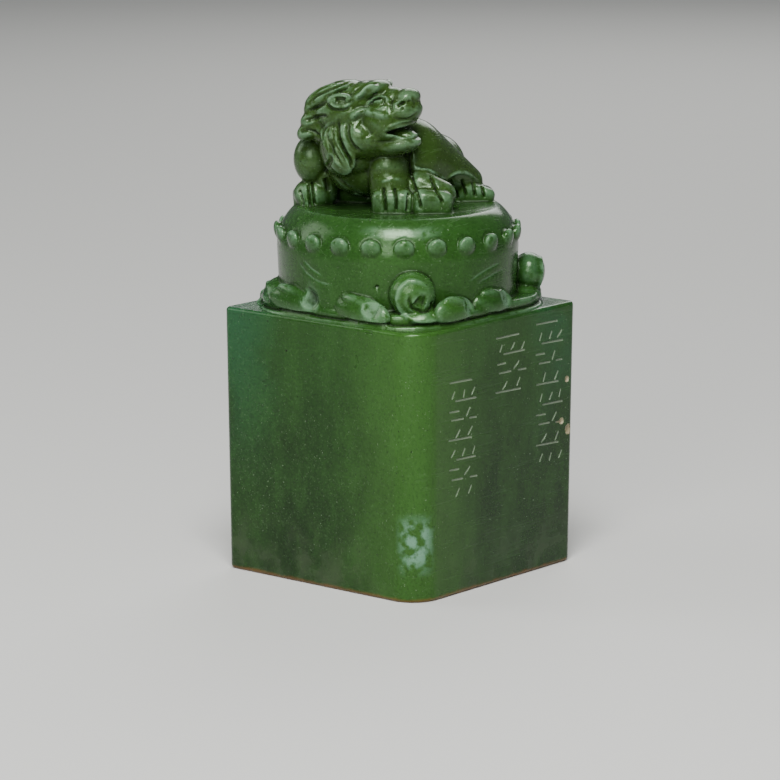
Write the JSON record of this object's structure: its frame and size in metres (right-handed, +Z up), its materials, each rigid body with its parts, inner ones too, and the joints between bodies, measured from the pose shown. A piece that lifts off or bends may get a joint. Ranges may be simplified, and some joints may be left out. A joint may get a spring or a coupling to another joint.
{
  "type": "stone seal",
  "caption": "Square carved stone seal: a flat printing face below, a drum with a row of nail heads and a border of waves above, and a crouching lion as the handle.",
  "frame": {"origin": "centre of the flat printing face, on the surface that the seal stands on", "axes": "+Z up through the lion; the lion's chest faces -Y, its head is turned towards +X, and the face with the cut strokes is the +X one"},
  "size_m": [0.0326, 0.0326, 0.0647],
  "materials": {
    "green_stone": "satin polished, waxy"
  },
  "bodies": {
    "root": {"stone_seal": "green_stone"}
  },
  "joints": []
}
